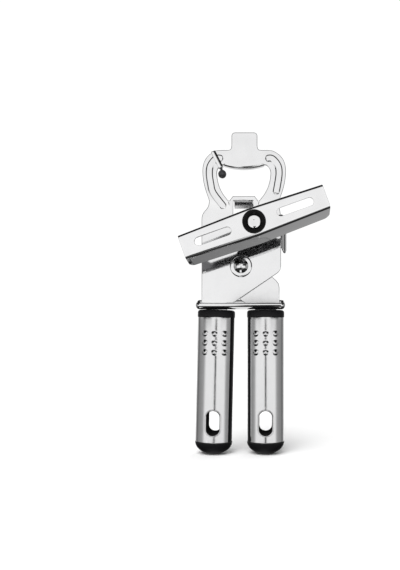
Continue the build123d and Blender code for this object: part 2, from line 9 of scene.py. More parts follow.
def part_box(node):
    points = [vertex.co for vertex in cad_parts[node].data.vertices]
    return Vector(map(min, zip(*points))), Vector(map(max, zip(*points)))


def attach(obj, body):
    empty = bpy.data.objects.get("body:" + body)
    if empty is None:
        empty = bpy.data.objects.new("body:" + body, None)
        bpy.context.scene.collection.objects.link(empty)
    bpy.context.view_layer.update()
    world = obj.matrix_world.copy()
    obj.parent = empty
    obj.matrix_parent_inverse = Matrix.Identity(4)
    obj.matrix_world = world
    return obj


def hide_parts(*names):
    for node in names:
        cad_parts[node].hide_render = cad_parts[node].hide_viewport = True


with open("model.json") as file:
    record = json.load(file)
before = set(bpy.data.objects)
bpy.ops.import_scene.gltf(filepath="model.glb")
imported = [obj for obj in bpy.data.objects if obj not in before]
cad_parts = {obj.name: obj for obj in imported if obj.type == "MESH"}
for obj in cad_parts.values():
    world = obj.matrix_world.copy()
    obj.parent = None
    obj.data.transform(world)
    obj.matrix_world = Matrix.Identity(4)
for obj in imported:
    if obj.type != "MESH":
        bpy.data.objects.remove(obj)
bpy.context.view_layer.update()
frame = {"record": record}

JOINTS = {j["name"]: j for j in frame["record"]["behaviour"]["joints"]}
MM = 0.001
PIVOT = Vector(JOINTS["handle_open"]["pos_m"])
AXIS_X = (JOINTS["crank_spin"]["pos_m"][0] - PIVOT.x) / MM
AXIS_Z = (JOINTS["crank_spin"]["pos_m"][2] - PIVOT.z) / MM


def span(node):
    """Box of a CAD node in mm, measured from the pivot."""
    lo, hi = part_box(node)
    return (lo - PIVOT) / MM, (hi - PIVOT) / MM


def from_pivot(x, y, z):
    return PIVOT + Vector((x, y, z)) * MM


# ---------------------------------------------------------------- materials
def node_link(tree, a, out, b, inp):
    tree.links.new(a.outputs[out], b.inputs[inp])


def noise(tree, coords, scale, detail, rough=0.5, stretch=(1, 1, 1)):
    mapping = tree.nodes.new("ShaderNodeMapping")
    mapping.inputs["Scale"].default_value = stretch
    tree.links.new(coords, mapping.inputs["Vector"])
    tex = tree.nodes.new("ShaderNodeTexNoise")
    tex.inputs["Scale"].default_value = scale
    tex.inputs["Detail"].default_value = detail
    tex.inputs["Roughness"].default_value = rough
    node_link(tree, mapping, "Vector", tex, "Vector")
    return tex


def ramp(tree, source, out, stops):
    r = tree.nodes.new("ShaderNodeValToRGB")
    r.color_ramp.elements[0].position = stops[0][0]
    r.color_ramp.elements[0].color = (*stops[0][1], 1)
    r.color_ramp.elements[1].position = stops[1][0]
    r.color_ramp.elements[1].color = (*stops[1][1], 1)
    node_link(tree, source, out, r, "Fac")
    return r


def surface(name, color, metallic, rough, rough_spread, grain, grain_stretch, bump, worn, specular=0.5):
    """Finish of a material: cloudy tone and roughness, fine grain with a direction, worn edges."""
    mat = bpy.data.materials.new(name)
    mat.use_nodes = True
    tree = mat.node_tree
    bsdf = tree.nodes["Principled BSDF"]
    bsdf.inputs["Metallic"].default_value = metallic
    bsdf.inputs["Specular IOR Level"].default_value = specular
    coords = tree.nodes.new("ShaderNodeTexCoord").outputs["Object"]
    cloud = noise(tree, coords, 95, 4, 0.6)
    fine = noise(tree, coords, grain, 5, 0.65, grain_stretch)

    tone = ramp(tree, cloud, "Fac", [(0.3, [c * 0.93 for c in color]), (0.75, color)])
    geometry = tree.nodes.new("ShaderNodeNewGeometry")
    edge = ramp(tree, geometry, "Pointiness", [(0.52, (0, 0, 0)), (0.60, (1, 1, 1))])
    wear = tree.nodes.new("ShaderNodeMix")
    wear.data_type = "RGBA"
    wear.inputs["B"].default_value = (*worn, 1)
    tree.links.new(edge.outputs["Color"], wear.inputs["Factor"])
    tree.links.new(tone.outputs["Color"], wear.inputs["A"])
    tree.links.new(wear.outputs["Result"], bsdf.inputs["Base Color"])

    lo = max(rough - rough_spread, 0.02)
    hi = rough + rough_spread
    mixed = tree.nodes.new("ShaderNodeMath")
    mixed.operation = "MULTIPLY_ADD"
    node_link(tree, fine, "Fac", mixed, 0)
    mixed.inputs[1].default_value = 0.5
    node_link(tree, cloud, "Fac", mixed, 2)
    gloss = ramp(tree, mixed, "Value", [(0.45, (lo, lo, lo)), (1.0, (hi, hi, hi))])
    tree.links.new(gloss.outputs["Color"], bsdf.inputs["Roughness"])

    bumper = tree.nodes.new("ShaderNodeBump")
    bumper.inputs["Strength"].default_value = bump
    bumper.inputs["Distance"].default_value = 0.00004
    node_link(tree, fine, "Fac", bumper, "Height")
    node_link(tree, bumper, "Normal", bsdf, "Normal")
    return mat


def grey(value):
    return (value, value, value)


ALL_WAYS = (1, 1, 1)
CHROME = surface("plate_chrome", (0.90, 0.90, 0.905), 1.0, 0.075, 0.045, 900, (1, 1, 0.25), 0.05, grey(0.97))
KEY_CHROME = surface("key_chrome", (0.91, 0.91, 0.915), 1.0, 0.07, 0.04, 900, (0.3, 1, 1), 0.05, grey(0.97))
# Darker steel for the inside of the key's channel: painted shade.
KEY_PAINTED_SHADE = surface("key_inside_painted_shade", (0.2, 0.2, 0.205), 1.0, 0.16, 0.06, 900, (0.3, 1, 1), 0.1, grey(0.3))
SKIN = surface("sleeve_steel", (0.80, 0.80, 0.805), 1.0, 0.15, 0.05, 1500, (1, 1, 0.03), 0.16, grey(0.93))
TURNED = surface("turned_steel", (0.62, 0.62, 0.63), 1.0, 0.20, 0.07, 1400, (1, 0.1, 1), 0.2, grey(0.85))
RIVET = surface("rivet_steel", (0.88, 0.88, 0.885), 1.0, 0.06, 0.03, 800, ALL_WAYS, 0.04, grey(0.95))
GEAR = surface("gear_steel", (0.50, 0.50, 0.51), 1.0, 0.27, 0.08, 1100, ALL_WAYS, 0.3, grey(0.80))
CUTTER = surface("cutter_steel", (0.66, 0.66, 0.68), 1.0, 0.17, 0.06, 1300, (1, 0.2, 1), 0.2, grey(0.90))
PLASTIC = surface("grip_plastic", (0.007, 0.007, 0.008), 0.0, 0.40, 0.07, 1600, ALL_WAYS, 0.35, grey(0.03),
                  0.12)
# Black without sheen for the walls of the hanging slot: painted shade.
BORE_PAINTED_SHADE = surface("grip_bore_painted_shade", grey(0.006), 0.0, 0.80, 0.08, 1600, ALL_WAYS, 0.3, grey(0.02), 0.0)
BOSS = surface("boss_plastic", grey(0.006), 0.0, 0.42, 0.06, 1500, ALL_WAYS, 0.2, grey(0.02), 0.15)
MAGNET = surface("magnet_coat", (0.06, 0.06, 0.065), 0.4, 0.38, 0.08, 1500, ALL_WAYS, 0.4, grey(0.20))


# ---------------------------------------------------------------- mesh builders
def finish_piece(obj, node, body, mat, bevel=0.0, smooth=35):
    """Gives a piece its finish, soft edges, its body and the CAD nodes it stands for."""
    obj.data.materials.clear()
    obj.data.materials.append(mat)
    for poly in obj.data.polygons:
        poly.use_smooth = True
    if bevel:
        mod = obj.modifiers.new("soft_edges", "BEVEL")
        mod.width = bevel * MM
        mod.segments = 2
        mod.limit_method = "ANGLE"
        mod.angle_limit = radians(smooth)
    else:
        bpy.context.view_layer.objects.active = obj
        obj.select_set(True)
        bpy.ops.object.shade_smooth_by_angle(angle=radians(smooth))
        obj.select_set(False)
    flat = obj.modifiers.new("flat_faces", "WEIGHTED_NORMAL")
    flat.keep_sharp = True
    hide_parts(node)
    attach(obj, body)
    return obj


def mesh_object(name, verts, faces):
    mesh = bpy.data.meshes.new(name)
    mesh.from_pydata([tuple(v) for v in verts], [], faces)
    bm = bmesh.new()
    bm.from_mesh(mesh)
    bmesh.ops.remove_doubles(bm, verts=bm.verts, dist=1e-7)
    bmesh.ops.recalc_face_normals(bm, faces=bm.faces)
    bm.to_mesh(mesh)
    bm.free()
    obj = bpy.data.objects.new(name, mesh)
    bpy.context.collection.objects.link(obj)
    return obj


def baked(obj):
    """Applies an object's modifiers or turns a curve into a mesh."""
    graph = bpy.context.evaluated_depsgraph_get()
    mesh = bpy.data.meshes.new_from_object(obj.evaluated_get(graph))
    name = obj.name
    bpy.data.objects.remove(obj)
    out = bpy.data.objects.new(name, mesh)
    bpy.context.collection.objects.link(out)
    return out


def plate(name, outline, holes, y0, y1, bevel=0.3, resolution=3):
    """Sheet with rounded edges, from closed outlines in X and Z (mm from the pivot)."""
    curve = bpy.data.curves.new(name, "CURVE")
    curve.dimensions = "2D"
    curve.fill_mode = "BOTH"
    curve.extrude = ((y1 - y0) / 2 - bevel) * MM
    curve.bevel_depth = bevel * MM
    curve.offset = -bevel * MM
    curve.bevel_resolution = resolution
    for points in [outline, *holes]:
        spline = curve.splines.new("POLY")
        spline.points.add(len(points) - 1)
        for p, (x, z) in zip(spline.points, points):
            p.co = (x * MM, z * MM, 0, 1)
        spline.use_cyclic_u = True
    obj = bpy.data.objects.new(name, curve)
    bpy.context.collection.objects.link(obj)
    out = baked(obj)
    turn = Matrix.Rotation(radians(90), 4, "X")
    out.data.transform(Matrix.Translation(from_pivot(0, (y0 + y1) / 2, 0)) @ turn)
    bm = bmesh.new()
    bm.from_mesh(out.data)
    bmesh.ops.remove_doubles(bm, verts=bm.verts, dist=2e-6)
    bm.to_mesh(out.data)
    bm.free()
    return out


def loft(name, rings, closed_path=False):
    """Skin over rings of points (mm from the pivot), each ring closed; an open path gets end caps."""
    n = len(rings[0])
    verts = [from_pivot(*p) for r in rings for p in r]
    faces = []
    count = len(rings) if closed_path else len(rings) - 1
    for i in range(count):
        a = i * n
        b = ((i + 1) % len(rings)) * n
        for j in range(n):
            k = (j + 1) % n
            faces.append((a + j, a + k, b + k, b + j))
    if not closed_path:
        faces.append(tuple(range(n)))
        faces.append(tuple(reversed(range((len(rings) - 1) * n, len(rings) * n))))
    return mesh_object(name, verts, faces)


def lathe(name, x, z, profile, steps=96):
    """Turned piece about a Y axis; profile is (radius, y) pairs, closed on itself."""
    rings = []
    for i in range(steps):
        a = 2 * pi * i / steps
        rings.append([(x + r * cos(a), y, z + r * sin(a)) for r, y in profile])
    return loft(name, rings, closed_path=True)


def arc(cx, cz, r, a0, a1, steps):
    return [(cx + r * cos(a0 + (a1 - a0) * i / steps), cz + r * sin(a0 + (a1 - a0) * i / steps))
            for i in range(steps + 1)]


def smooth_curve(points, steps=8):
    """Catmull-Rom curve through an open row of points."""
    pts = [Vector(p) for p in points]
    last = len(pts) - 1
    out = []
    for i in range(last):
        p0 = pts[i - 1] if i else pts[0] * 2 - pts[1]
        p1 = pts[i]
        p2 = pts[i + 1]
        p3 = pts[i + 2] if i + 1 < last else pts[-1] * 2 - pts[-2]
        for s in range(steps):
            t = s / steps
            out.append(0.5 * ((2 * p1) + (p2 - p0) * t + (2 * p0 - 5 * p1 + 4 * p2 - p3) * t ** 2
                              + (3 * p1 - p0 - 3 * p2 + p3) * t ** 3))
    out.append(pts[-1])
    return out


def join(name, objs):
    bm = bmesh.new()
    for o in objs:
        bm.from_mesh(o.data)
    mesh = bpy.data.meshes.new(name)
    bm.to_mesh(mesh)
    bm.free()
    for o in objs:
        bpy.data.objects.remove(o)
    out = bpy.data.objects.new(name, mesh)
    bpy.context.collection.objects.link(out)
    return out


def cut(obj, *cutters):
    for c in cutters:
        mod = obj.modifiers.new("cut", "BOOLEAN")
        mod.object = c
        mod.operation = "DIFFERENCE"
        mod.solver = "EXACT"
    out = baked(obj)
    for c in cutters:
        bpy.data.objects.remove(c)
    return out


# ---------------------------------------------------------------- plates
front_hi = span("front_plate")[1]
rear_lo, rear_hi = span("rear_plate")
PLATE_T = 1.5
FRONT_Y = -PLATE_T
LEFT_X = -25.8
RIGHT_X = 26.2
SHOULDER_Z = -24.2
LOOP_X = 2.1
LOOP_W = 27.3
LOOP_Z0 = 42.8
LOOP_Z1 = 75.9
FULCRUM_Z = 63.9
TANG = (-23.2, -9.0)
BODY_Z = 30.0
OPENING_X = LOOP_X - 0.3
LIP_HALF = 13.475
LIP_RISE = 2.2
LIP_STEPS = 24
TAB_X = LOOP_X + 0.15
TAB_HALF = 8.45
TAB_ROUND = 2.3
SHEET_EDGE = 0.46
BEAD_W = 4.8
BEAD_H = 0.40


def bezier(p0, p1, p2, p3, steps=12):
    out = []
    for i in range(1, steps):
        t = i / steps
        out.append(tuple((1 - t) ** 3 * a + 3 * t * (1 - t) ** 2 * b + 3 * t * t * (1 - t) * c + t ** 3 * d
                         for a, b, c, d in zip(p0, p1, p2, p3)))
    return out


def loop_side(sign):
    """Outer edge of the loop on one side, from its top down to the waist."""
    shape = [(0.55, 1.0), (0.67, 0.99), (0.77, 0.95), (0.87, 0.885), (0.95, 0.79), (0.99, 0.68), (1.0, 0.56),
             (0.985, 0.42), (0.955, 0.29), (0.905, 0.15), (0.865, 0.06), (0.842, 0.0)]
    pts = [(LOOP_X + sign * LOOP_W * u, LOOP_Z0 + (LOOP_Z1 - LOOP_Z0) * v) for u, v in shape]
    return [(p.x, p.y) for p in smooth_curve(pts, 5)]


def front_outline():
    left = loop_side(-1)
    right = loop_side(1)
    pts = list(left)
    pts += bezier(left[-1], (left[-1][0], BODY_Z + 5.5), (LEFT_X, BODY_Z + 7.5), (LEFT_X, BODY_Z))
    pts += [(LEFT_X, BODY_Z), (LEFT_X, SHOULDER_Z), (TANG[0], SHOULDER_Z), (TANG[0], -32.0), (TANG[1], -32.0),
            (TANG[1], SHOULDER_Z), (-5.1, SHOULDER_Z)]
    slope = atan2(-3.0 - SHOULDER_Z, RIGHT_X + 5.1)
    r = 6.0
    reach = r * (1 / cos(slope) - sin(slope) / cos(slope))
    pts += arc(RIGHT_X - r, -3.0 + reach, r, -pi / 2 + slope, 0, 8)
    pts += [(RIGHT_X, BODY_Z)]
    pts += bezier((RIGHT_X, BODY_Z), (RIGHT_X, BODY_Z + 6), (right[-1][0], BODY_Z + 5.5), right[-1])
    pts += list(reversed(right))
    top = front_hi.z
    x0 = TAB_X - TAB_HALF
    x1 = TAB_X + TAB_HALF
    foot = LOOP_Z1 + 3
    bend = LOOP_Z1 + 0.9
    pts += [(x1 + TAB_ROUND, LOOP_Z1)]
    pts += bezier((x1 + TAB_ROUND, LOOP_Z1), (x1 + 0.7, LOOP_Z1), (x1 + 0.1, bend), (x1, foot), 6)
    pts += [(x1, foot)] + arc(x1 - TAB_ROUND, top - TAB_ROUND, TAB_ROUND, 0, pi / 2, 8)
    pts += arc(x0 + TAB_ROUND, top - TAB_ROUND, TAB_ROUND, pi / 2, pi, 8) + [(x0, foot)]
    pts += bezier((x0, foot), (x0 - 0.1, bend), (x0 - 0.7, LOOP_Z1), (x0 - TAB_ROUND, LOOP_Z1), 6)
    pts += [(x0 - TAB_ROUND, LOOP_Z1)]
    return pts


def fulcrum_arc(lift):
    """Points of the bowed edge, raised by lift."""
    r = (LIP_HALF ** 2 + LIP_RISE ** 2) / (2 * LIP_RISE)
    a = atan2(LIP_HALF, r - LIP_RISE)
    return [(OPENING_X + (r - lift) * sin(t), FULCRUM_Z + r - (r - lift) * cos(t))
            for t in [-a + 2 * a * i / LIP_STEPS for i in range(LIP_STEPS + 1)]]


def opening_outline():
    """Edge of the crown-cap opening: two rounded sides, a stepped foot and the bowed edge above."""
    drop = FULCRUM_Z + LIP_RISE - LOOP_Z0
    shape = [(0.77, 1.0), (0.86, 0.985), (0.95, 0.91), (0.99, 0.83), (1.0, 0.75), (0.975, 0.58), (0.91, 0.40),
             (0.84, 0.28), (0.74, 0.155), (0.58, 0.0)]

    def side(sign):
        pts = [Vector((OPENING_X + sign * 17.5 * u, LOOP_Z0 + drop * v)) for u, v in shape]
        return [(p.x, p.y) for p in smooth_curve(pts, 4)]

    step_x = 7.2
    step_z = LOOP_Z0 + 2.9
    corner_z = LOOP_Z0 + 0.5
    right = side(1) + arc(OPENING_X + 9.6, corner_z, 0.6, 0, -pi, 5) + [(OPENING_X + step_x, step_z)]
    left = side(-1) + arc(OPENING_X - 9.6, corner_z, 0.6, -pi, 0, 5) + [(OPENING_X - step_x, step_z)]
    return right + list(reversed(left)) + fulcrum_arc(0.9)[1:-1]


def ridge(name, points, width, height, y_base):
    """Rounded pressed rib along a path on the front face."""
    path = smooth_curve(points)
    lanes = 24
    last = len(path) - 1
    total = [0.0]
    for i in range(last):
        total.append(total[-1] + (path[i + 1] - path[i]).length)
    verts = []
    for i, p in enumerate(path):
        d = (path[min(i + 1, last)] - path[max(i - 1, 0)]).normalized()
        side = Vector((-d.y, d.x))
        gap = min(total[i], total[-1] - total[i])
        scale = 1.0 if gap > width / 2 else (1 - (1 - gap / (width / 2)) ** 2) ** 0.5
        row = []
        for j in range(lanes + 1):
            u = -1 + 2 * j / lanes
            q = p + side * (u * width / 2 * max(scale, 0.02))
            fall = min(max((abs(u) - 0.66) / 0.34, 0), 1)
            bulge = height * scale * (0.5 + 0.5 * cos(pi * fall))
            row.append(from_pivot(q.x, y_base + 0.02 - bulge - 0.02 * (abs(u) < 1), q.y))
        verts += row
    n = lanes + 1
    faces = [(i * n + j, i * n + j + 1, (i + 1) * n + j + 1, (i + 1) * n + j)
             for i in range(last) for j in range(lanes)]
    obj = mesh_object(name, verts, faces)
    for poly in obj.data.polygons:
        if poly.normal.y > 0:
            poly.flip()
    return obj


def bead_path(sign, tail):
    """Middle line of a pressed rib: round the shoulder of the loop, then along the given tail."""
    shape = [(0.50, 0.82), (0.66, 0.83), (0.80, 0.70), (0.835, 0.54), (0.80, 0.32)]
    return [(LOOP_X + sign * LOOP_W * u, LOOP_Z0 + (LOOP_Z1 - LOOP_Z0) * v) for u, v in shape] + tail


def swept_lip():
    """Edge of the crown-cap opening, rolled back round a small bend."""
    section = [(1.3, -1.46), (0.75, -1.42), (0.3, -1.15), (0.05, -0.7), (0.0, -0.1), (0.0, 2.2), (0.12, 2.42),
               (0.35, 2.5), (0.95, 2.5), (1.2, 2.4), (1.35, 2.1), (1.4, 0.4), (1.6, -0.1), (2.0, -0.2)]
    rows = [fulcrum_arc(lift) for lift, _ in section]
    rings = [[(rows[k][i][0], y, rows[k][i][1]) for k, (_, y) in enumerate(section)]
             for i in range(LIP_STEPS + 1)]
    return loft("lip", rings)


def bent_tongue():
    """Tongue at the top of the window, bent back and then down."""
    z1 = 42.4
    line = [(-1.40, z1 + 0.9), (-1.15, z1 + 0.35), (-0.6, z1 + 0.06), (0.2, z1), (6.4, z1), (7.1, z1 - 0.15),
            (7.45, z1 - 0.7), (7.5, z1 - 2.2), (7.6, z1 - 2.36), (8.3, z1 - 2.36), (8.45, z1 - 2.2),
            (8.5, z1 + 0.2), (8.2, z1 + 0.8), (7.6, z1 + 1.0), (0.4, z1 + 1.0), (-0.2, z1 + 1.4)]
    xs = [-4.85, -4.7, -4.45, 7.35, 7.6, 7.75]
    inset = [0.12, 0.03, 0, 0, 0.03, 0.12]
    mid = (3.4, z1 + 0.5)
    rings = []
    for x, k in zip(xs, inset):
        rings.append([(x, y + (mid[0] - y) * k * 0.1, z + (mid[1] - z) * k) for y, z in line])
    return loft("tongue", rings)


def bent_ear():
    """Ear at the right edge: leans out and back, with a pointed lower end."""
    path = [(25.6, -0.75), (26.6, -0.55), (27.4, 0.2), (28.2, 1.3), (29.3, 3.3)]
    line = smooth_curve(path, 5)
    rings = []
    last = len(line) - 1
    for i, p in enumerate(line):
        d = (line[min(i + 1, last)] - line[max(i - 1, 0)]).normalized()
        side = Vector((-d.y, d.x)) * 0.68
        u = i / last
        top = 33.8 - 1.6 * u ** 3
        low = 13.0 - 4.1 * min(u / 0.84, 1) + 2.0 * max((u - 0.84) / 0.16, 0) ** 1.4
        a = p - side
        b = p + side
        e = 0.25
        am = a.lerp(b, 0.18)
        bm = a.lerp(b, 0.82)
        rings.append([(a.x, a.y, low + e), (am.x, am.y, low), (bm.x, bm.y, low), (b.x, b.y, low + e),
                      (b.x, b.y, top - e), (bm.x, bm.y, top), (am.x, am.y, top), (a.x, a.y, top - e)])
    return loft("ear", rings)


window = [(-5.1, 33.2), (8.0, 33.2), (8.0, 43.0), (-5.1, 43.0)]
bush_hole = arc(AXIS_X, AXIS_Z, 4.5, 0, 2 * pi, 40)[:-1]
front_holes = [opening_outline(), window, bush_hole]
sheet = plate("front_sheet", front_outline(), front_holes, FRONT_Y, 0, SHEET_EDGE, 4)
bead_left = ridge("bead_l", bead_path(-1, [(-18.0, 47.5), (-10.2, 37.4)]), BEAD_W, BEAD_H, FRONT_Y)
bead_right = ridge("bead_r", bead_path(1, [(22.6, 46.5)]), BEAD_W, BEAD_H, FRONT_Y)
front = join("front_plate_skin", [sheet, bead_left, bead_right, swept_lip(), bent_tongue(), bent_ear()])
finish_piece(front, "front_plate", "front_arm", CHROME, smooth=40)

slope_pts = [(9.0, -32.0), (23.2, -32.0), (23.2, SHOULDER_Z), (25.2, SHOULDER_Z), (25.2, -13.7),
             (24.6, -11.2), (23.2, -9.3), (18.5, -5.0)]
lobe = arc(-AXIS_X, AXIS_Z, 9.0, radians(28), radians(190), 30)
rear_pts = slope_pts + [(13.6, 6.2)] + lobe
rear_pts += [(-14.8, -2.4), (-17.5, -9.5), (2.7, SHOULDER_Z), (9.0, SHOULDER_Z)]
rear = plate("rear_plate_skin", rear_pts, [], rear_lo.y, rear_hi.y, SHEET_EDGE, 4)
finish_piece(rear, "rear_plate", "rear_arm", CHROME, smooth=40)


# ---------------------------------------------------------------- pivot
def round_profile(points, r):
    """Closes a polygon of (radius, y) points with rounded corners."""
    steps = 4
    out = []
    n = len(points)
    for i in range(n):
        p = Vector(points[i])
        a = Vector(points[i - 1]) - p
        b = Vector(points[(i + 1) % n]) - p
        k = min(r, a.length * 0.45, b.length * 0.45)
        pa = p + a.normalized() * k
        pb = p + b.normalized() * k
        for s in range(steps + 1):
            t = s / steps
            out.append(tuple((1 - t) ** 2 * pa + 2 * t * (1 - t) * p + t * t * pb))
    return out


def turned(name, node, body, mat, x, z, points, r):
    """Turned piece with its corners rounded to r."""
    obj = lathe(name, x, z, round_profile(points, r))
    return finish_piece(obj, node, body, mat, smooth=50)


turned("pivot_washer_skin", "pivot_washer", "front_arm", RIVET, 0, 0,
       [(2.9, -2.5), (6.6, -2.5), (7.3, -2.1), (7.3, -1.5), (2.9, -1.5)], 0.3)
DOME_HALF = 4.8
DOME_H = 2.4
dome_r = (DOME_HALF ** 2 + DOME_H ** 2) / (2 * DOME_H)
dome_a = atan2(DOME_HALF, dome_r - DOME_H)
dome_y = dome_r - 2.5 - DOME_H
head = [(dome_r * sin(dome_a * i / 20), dome_y - dome_r * cos(dome_a * i / 20)) for i in range(21)]
head += [(4.55, -2.46), (3.0, -2.45), (3.0, 3.0), (4.1, 3.05), (4.4, 3.2), (3.9, 3.6), (2.9, 3.82),
         (1.4, 3.9), (0, 3.9)]
rivet = lathe("pivot_rivet_skin", 0, 0, head)
finish_piece(rivet, "pivot_rivet", "front_arm", RIVET, smooth=50)
turned("pivot_back_washer_skin", "pivot_back_washer", "front_arm", RIVET, 0, 0,
       [(3.0, 1.7), (6.0, 1.7), (6.0, 2.5), (3.0, 2.5)], 0.2)

# ---------------------------------------------------------------- crank
boss_lo = span("key_boss")[0]
FACE_Y = span("crank_key")[0].y
KEY_ANGLE = radians(19.6)
turned("spindle_bush_skin", "spindle_bush", "front_arm", TURNED, AXIS_X, AXIS_Z,
       [(3.25, -4.0), (5.6, -4.0), (6.2, -3.4), (6.2, -1.5), (4.5, -1.5), (4.5, 1.9), (3.25, 1.9)], 0.15)
turned("crank_washer_skin", "crank_washer", "crank", TURNED, AXIS_X, AXIS_Z,
       [(3.2, -5.1), (5.8, -5.1), (5.8, -4.1), (3.2, -4.1)], 0.2)
spacer_lo, spacer_hi = span("crank_spacer")
turned("crank_spacer_skin", "crank_spacer", "crank", TURNED, AXIS_X, AXIS_Z,
       [(3.2, spacer_lo.y), (5.2, spacer_lo.y), (5.2, spacer_lo.y + 6), (4.5, spacer_lo.y + 6.6),
        (4.5, spacer_hi.y - 6.6), (5.2, spacer_hi.y - 6), (5.2, spacer_hi.y), (3.2, spacer_hi.y)], 0.25)
head_y = span("crank_spindle")[0].y
spindle_pts = [(0, head_y + 0.13), (0.6, head_y + 0.11), (1.1, head_y + 0.05), (1.5, head_y + 0.01),
               (3.4, head_y), (3.75, head_y + 0.1), (3.9, head_y + 0.4), (3.9, head_y + 1.05),
               (3.2, head_y + 1.1), (3.2, 6.9), (2.4, 7.0)]
THREAD_TURNS = 6
for i in range(THREAD_TURNS):
    spindle_pts += [(2.4, 7.15 + i * 0.5), (2.15, 7.4 + i * 0.5)]
spindle_pts += [(2.4, 10.2), (2.05, 10.65), (0, 10.7)]
spindle = lathe("crank_spindle_skin", AXIS_X, AXIS_Z, spindle_pts)
finish_piece(spindle, "crank_spindle", "crank", RIVET, smooth=40)
rim_y = boss_lo.y
boss_pts = [(3.2, FACE_Y + 2.8), (3.2, FACE_Y + 0.95), (4.0, FACE_Y + 0.9), (4.15, FACE_Y + 0.75),
            (4.8, FACE_Y - 0.1), (5.7, rim_y + 0.38), (6.5, rim_y + 0.06), (6.7, rim_y), (6.9, rim_y + 0.06),
            (7.0, rim_y + 0.25), (7.0, FACE_Y), (5.3, FACE_Y + 0.05), (5.2, FACE_Y + 2.8)]
boss = lathe("key_boss_skin", AXIS_X, AXIS_Z, boss_pts)
finish_piece(boss, "key_boss", "crank", BOSS, smooth=35)


def slot_points(cx, cz, length, width, steps=12):
    """Racetrack outline, long way along the first axis."""
    r = width / 2
    half = length / 2 - r
    return arc(cx + half, cz, r, -pi / 2, pi / 2, steps) + arc(cx - half, cz, r, pi / 2, 3 * pi / 2, steps)


KEY_HALF_L = 45.2
KEY_MID_HALF_W = 8.375
KEY_TAPER = 1.35
KEY_LEAN = radians(13)
KEY_BEND = 1.9
KEY_SHEET = 1.2
KEY_DEPTH = 13.0
KEY_SLOT_X = 25.7
KEY_SLOT_L = 22.8
KEY_SLOT_W = 5.0
KEY_HOLE_R = 5.2
KEY_PLACE = (Matrix.Translation(from_pivot(AXIS_X, 0, AXIS_Z)) @ Matrix.Rotation(-KEY_ANGLE, 4, "Y")
             @ Matrix.Translation(-PIVOT))


def key_ring(u):
    """Section of the key at u along its length: widest in the middle, tapering to both ends."""
    half = KEY_MID_HALF_W - KEY_TAPER * abs(u) / KEY_HALF_L

    def side(sign):
        """Outer line of one flange, from the face round the bend to its rear edge."""
        pts = []
        turn = pi / 2 - KEY_LEAN
        for i in range(9):
            a = turn * i / 8
            v = sign * (half - KEY_BEND * 0.75 + KEY_BEND * sin(a))
            pts.append((v, FACE_Y + KEY_BEND - KEY_BEND * cos(a)))
        v, y = pts[-1]
        reach = KEY_DEPTH - KEY_BEND
        pts.append((v + sign * reach * sin(KEY_LEAN), y + reach * cos(KEY_LEAN)))
        return pts

    outer = list(reversed(side(-1))) + side(1)
    inner = []
    for k, (v, y) in enumerate(outer):
        a = Vector(outer[max(k - 1, 0)])
        b = Vector(outer[min(k + 1, len(outer) - 1)])
        d = (b - a).normalized()
        inner.append((v - d.y * KEY_SHEET, y + d.x * KEY_SHEET))
    return [(u, y, v) for v, y in outer + list(reversed(inner))]


def face_cutter(name, outline):
    """Solid that cuts an outline in X and Z through the key's face."""
    return loft(name, [[(x, y, z) for x, z in outline] for y in (FACE_Y - 1, FACE_Y + 2.4)])


def make_key():
    """Channel with two slots, a middle hole and rounded rear corners on both flanges."""
    obj = loft("crank_key_skin", [key_ring(-KEY_HALF_L + 2 * KEY_HALF_L * i / 32) for i in range(33)])
    cutters = []
    for sign in (-1, 1):
        cutters.append(face_cutter("slot", slot_points(sign * KEY_SLOT_X, 0, KEY_SLOT_L, KEY_SLOT_W)))
        tip = FACE_Y + 12.68
        corner = [(sign * 46.7, tip - 3.8), (sign * 46.7, tip + 2), (sign * 40.8, tip + 2),
                  (sign * 40.8, tip + 0.2), (sign * 42.2, tip - 0.25), (sign * 43.6, tip - 1.1),
                  (sign * 44.7, tip - 2.4), (sign * 45.25, tip - 3.8)]
        cutters.append(loft("corner", [[(x, y, z) for x, y in corner] for z in (-14, 14)]))
    cutters.append(face_cutter("hole", arc(0, 0, KEY_HOLE_R, 0, 2 * pi, 48)[:-1]))
    obj = cut(obj, *cutters)
    obj.data.transform(KEY_PLACE)
    return obj


key = make_key()
finish_piece(key, "crank_key", "crank", KEY_CHROME, bevel=0.3, smooth=40)
# The channel's inner faces: a darker steel colour, painted shade inside the channel.
key.data.materials.append(KEY_PAINTED_SHADE)
key_home = KEY_PLACE.inverted()
for poly in key.data.polygons:
    spot = (key_home @ poly.center - PIVOT) / MM
    facing = key_home.to_3x3() @ poly.normal
    back_of_face = facing.y > 0.9 and spot.y < FACE_Y + 3
    if spot.y > FACE_Y + 0.6 and (back_of_face or facing.z * spot.z < 0):
        poly.material_index = 1


def gear_points(cx, cz, root_r, tip_r, teeth, root_half, tip_half):
    """Outline of a gear with straight-sided teeth; the half widths are angles at root and tip."""
    pts = []
    for i in range(teeth):
        m = pi + 2 * pi * i / teeth
        for r, o in ((root_r, -root_half), (tip_r, -tip_half), (tip_r, tip_half), (root_r, root_half)):
            pts.append((cx + r * cos(m + o), cz + r * sin(m + o)))
    return pts


